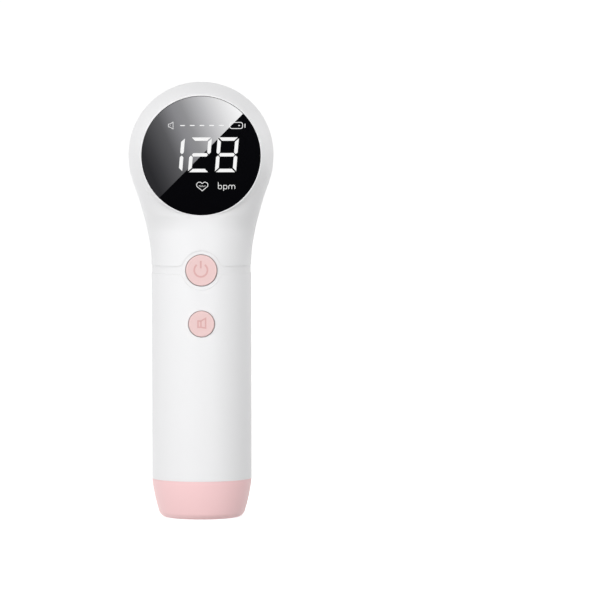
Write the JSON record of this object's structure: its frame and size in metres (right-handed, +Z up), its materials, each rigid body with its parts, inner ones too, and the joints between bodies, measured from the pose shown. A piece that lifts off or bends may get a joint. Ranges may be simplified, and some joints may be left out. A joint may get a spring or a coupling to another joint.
{
  "type": "fetal doppler monitor",
  "caption": "Hand-held fetal heartbeat monitor: round head with a black display and rear speaker, round grip with power and sound keys, coloured probe cap at the foot.",
  "frame": {"origin": "centre of the flat foot of the probe cap", "axes": "+Z up the grip to the head, display and keys face -Y, +X is to the right as the display is read"},
  "size_m": [0.05, 0.0452, 0.15],
  "materials": {
    "white_shell": "satin moulded ABS",
    "waist_band": "satin moulded ABS",
    "rose_cap": "satin moulded ABS",
    "rose_keys": "satin moulded ABS",
    "display_window": "polished acrylic, printed black behind",
    "adhesive": "foam adhesive",
    "reflector": "moulded, matt",
    "led": "moulded resin",
    "circuit_board": "solder-masked laminate",
    "screw_steel": "zinc-plated",
    "ribbon": "polyimide film",
    "speaker_body": "moulded, matt",
    "speaker_cone": "pressed film",
    "magnet": "nickel-plated",
    "gasket": "felt",
    "chassis": "moulded, matt",
    "chip": "moulded epoxy",
    "switch_case": "moulded nylon",
    "switch_plunger": "moulded nylon",
    "battery": "foil pouch",
    "socket_steel": "nickel-plated",
    "socket_tongue": "moulded nylon",
    "jack": "moulded nylon",
    "seal": "silicone",
    "matching": "cast epoxy",
    "crystal": "fired piezo ceramic, silvered",
    "absorber": "cork-filled rubber",
    "backing": "filled epoxy",
    "cup": "drawn brass",
    "lead": "insulated wire"
  },
  "bodies": {
    "housing": {"head_shell": "white_shell", "grip_shell": "white_shell", "waist_ring": "waist_band", "probe_cap": "rose_cap", "display_lens": "display_window", "lens_tape": "adhesive", "battery_tape": "adhesive", "display_reflector": "reflector", "led_chips": "led", "display_board": "circuit_board", "main_board": "circuit_board", "port_board": "circuit_board", "display_screws": "screw_steel", "neck_screws": "screw_steel", "board_screws": "screw_steel", "display_ribbon": "ribbon", "speaker_frame": "speaker_body", "speaker_cone": "speaker_cone", "speaker_magnet": "magnet", "speaker_gasket": "gasket", "chassis": "chassis", "board_chips": "chip", "power_switch_case": "switch_case", "sound_switch_case": "switch_case", "battery_pack": "battery", "charging_socket_shell": "socket_steel", "charging_socket_tongue": "socket_tongue", "earphone_jack": "jack", "cap_seal": "seal", "matching_layer": "matching", "transmit_crystal": "crystal", "receive_crystal": "crystal", "crystal_divider": "absorber", "backing_block": "backing", "transducer_cup": "cup", "transducer_leads": "lead"},
    "power_key": {"power_button": "rose_keys", "power_switch_plunger": "switch_plunger"},
    "sound_key": {"sound_button": "rose_keys", "sound_switch_plunger": "switch_plunger"}
  },
  "joints": [
    {"name": "power_button_press", "type": "slide", "parent": "housing", "child": "power_key", "axis": [0, 1, 0], "range_m": [0, 0.0004], "stiffness_N_per_m": 5000, "springref_m": -0.0002},
    {"name": "sound_button_press", "type": "slide", "parent": "housing", "child": "sound_key", "axis": [0, 1, 0], "range_m": [0, 0.0004], "stiffness_N_per_m": 5000, "springref_m": -0.0002}
  ]
}
